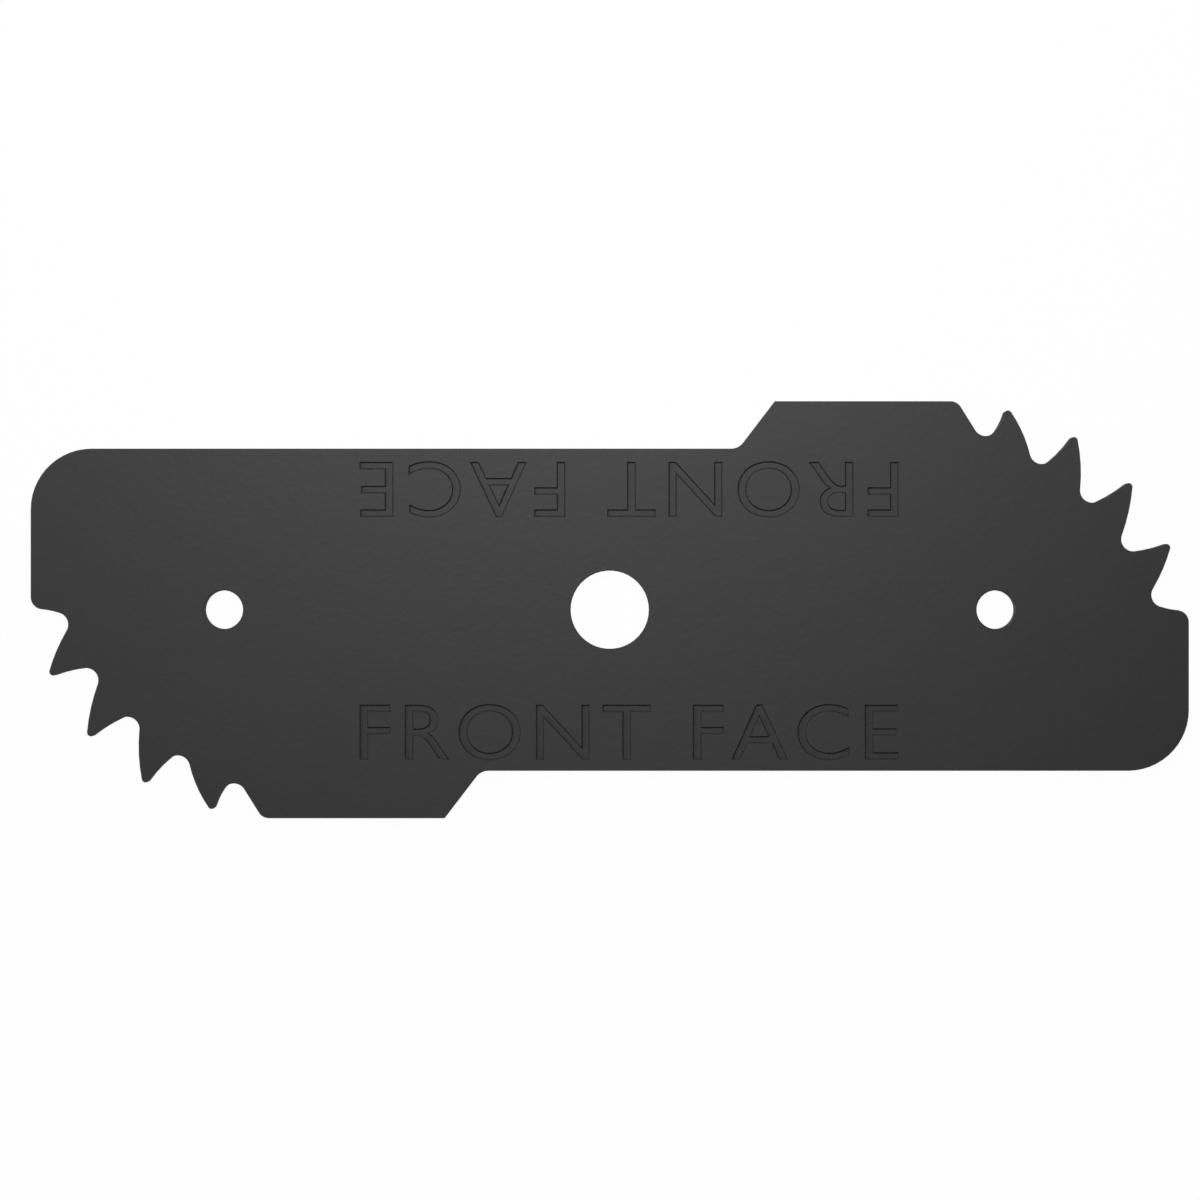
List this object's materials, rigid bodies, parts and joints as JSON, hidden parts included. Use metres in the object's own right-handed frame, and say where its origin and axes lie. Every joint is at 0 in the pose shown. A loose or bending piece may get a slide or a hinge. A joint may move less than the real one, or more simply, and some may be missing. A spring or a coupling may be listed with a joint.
{
  "type": "edger blade",
  "caption": "Flat toothed steel blade for a lawn edger, with an arbor hole, drive pin holes, raised shoulders and stepped cutting teeth at opposite corners.",
  "frame": {"origin": "centre of the arbor hole in the inner face, which lies against the drive flange and is the face that the blade rests on", "axes": "+X along the blade, +Y across it towards the shoulder beside the +X end, +Z out of the outer face along the arbor axis"},
  "size_m": [0.1906, 0.0686, 0.003],
  "materials": {
    "coated_steel": "matte"
  },
  "bodies": {
    "root": {"edger_blade": "coated_steel"}
  },
  "joints": []
}
